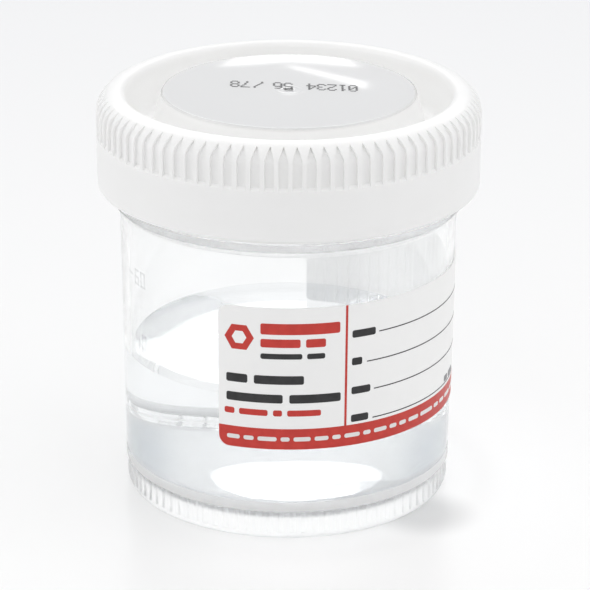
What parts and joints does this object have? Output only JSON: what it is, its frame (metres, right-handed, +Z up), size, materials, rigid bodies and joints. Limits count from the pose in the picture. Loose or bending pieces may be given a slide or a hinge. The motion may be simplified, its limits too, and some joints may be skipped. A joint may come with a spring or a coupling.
{
  "type": "specimen container",
  "caption": "Round specimen container: translucent tapered body with a ribbed base band, white grooved screw cap, wrap-round label and a clear liquid fill.",
  "frame": {"origin": "centre of the base, on the plane that the container stands on", "axes": "+Z up along the container's axis, -Y towards the front, where the label begins just left of centre"},
  "size_m": [0.057, 0.057, 0.062],
  "materials": {
    "translucent_plastic": "natural translucent, smooth",
    "white_plastic": "white, satin",
    "label_film": "white film with a red band and black rules",
    "clear_liquid": "clear liquid"
  },
  "bodies": {
    "vessel": {"container": "translucent_plastic", "label": "label_film", "liquid": "clear_liquid"},
    "closure": {"cap": "white_plastic"}
  },
  "joints": [
    {"name": "cap_lift", "type": "slide", "parent": "vessel", "child": "closure", "axis": [0, 0, 1], "range_m": [0, 0.02]}
  ]
}
